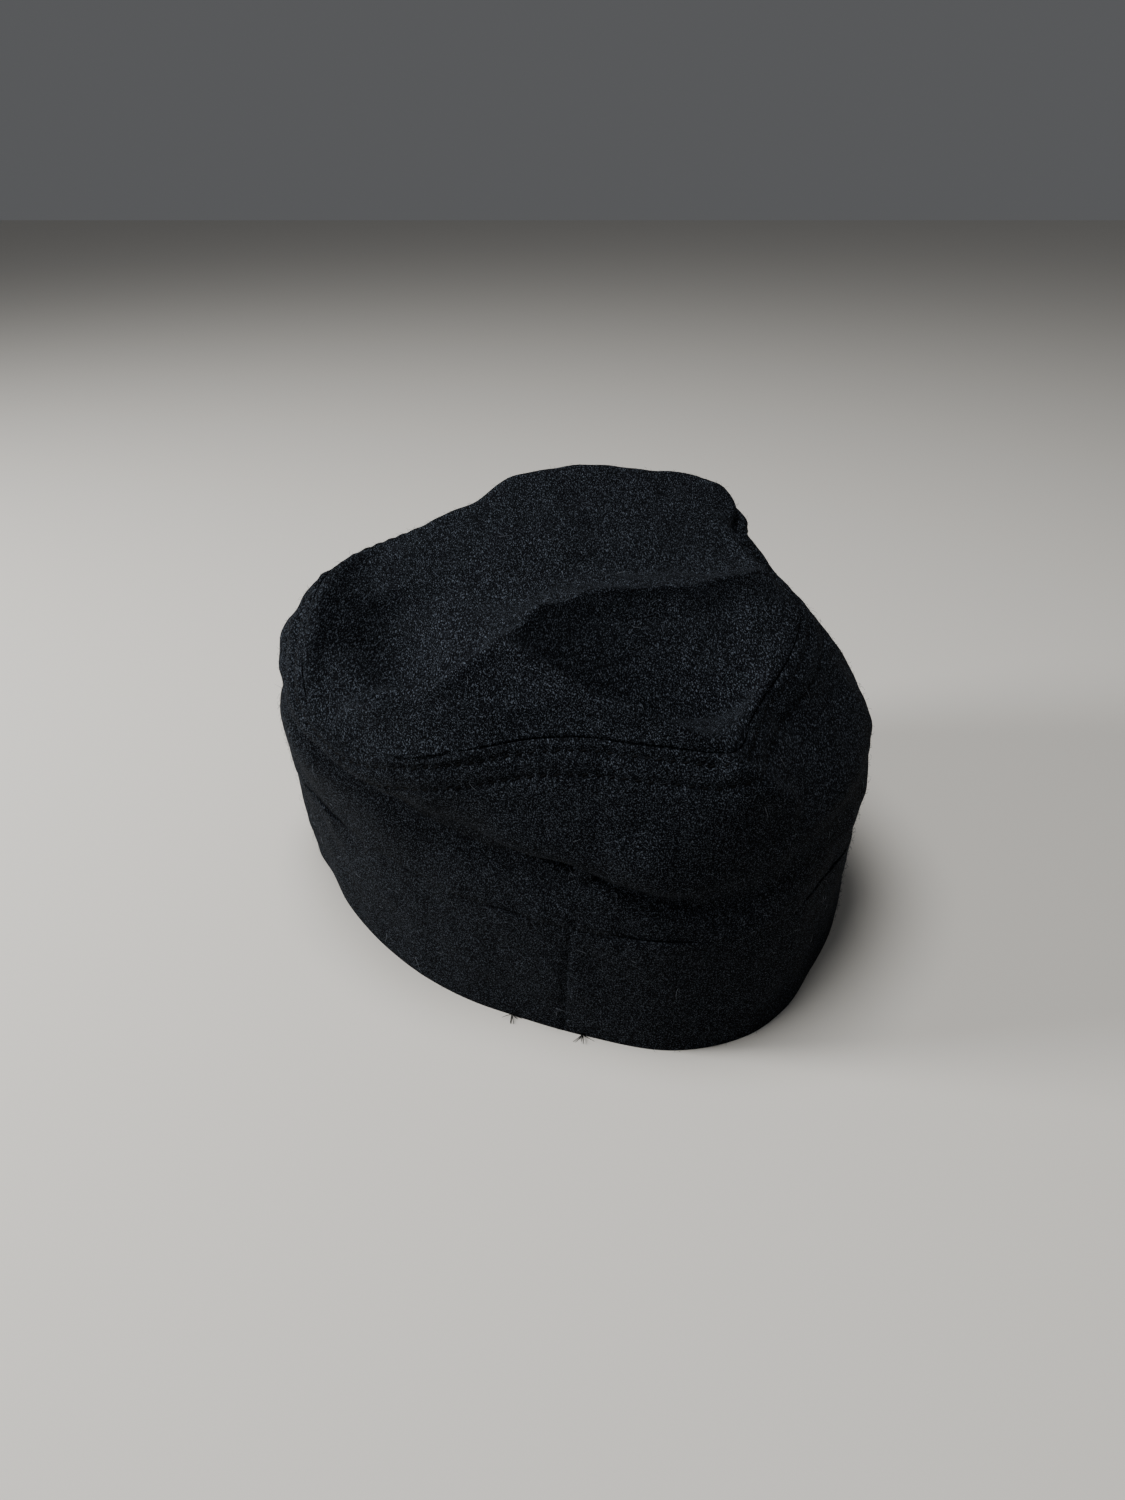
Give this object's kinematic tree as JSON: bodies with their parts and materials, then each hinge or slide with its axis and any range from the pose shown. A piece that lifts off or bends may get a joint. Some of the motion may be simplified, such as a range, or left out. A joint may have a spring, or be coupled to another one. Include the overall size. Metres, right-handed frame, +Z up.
{
  "type": "work cap",
  "caption": "Brimless slouched cap of thick dark wool cloth: a band, a tall side wall folded over itself and an oval tip sunk between crests.",
  "frame": {"origin": "on the floor, below the middle of the cap's box", "axes": "+Z up out of the opening's plane, the front with the lip and the upright seam towards -Y, +X to the cap's right as seen from the front"},
  "size_m": [0.1964, 0.1978, 0.1206],
  "materials": {
    "wool_cloth": "napped charcoal wool melton, no shine"
  },
  "bodies": {
    "root": {"band": "wool_cloth", "side_wall": "wool_cloth", "top_panel": "wool_cloth"}
  },
  "joints": []
}
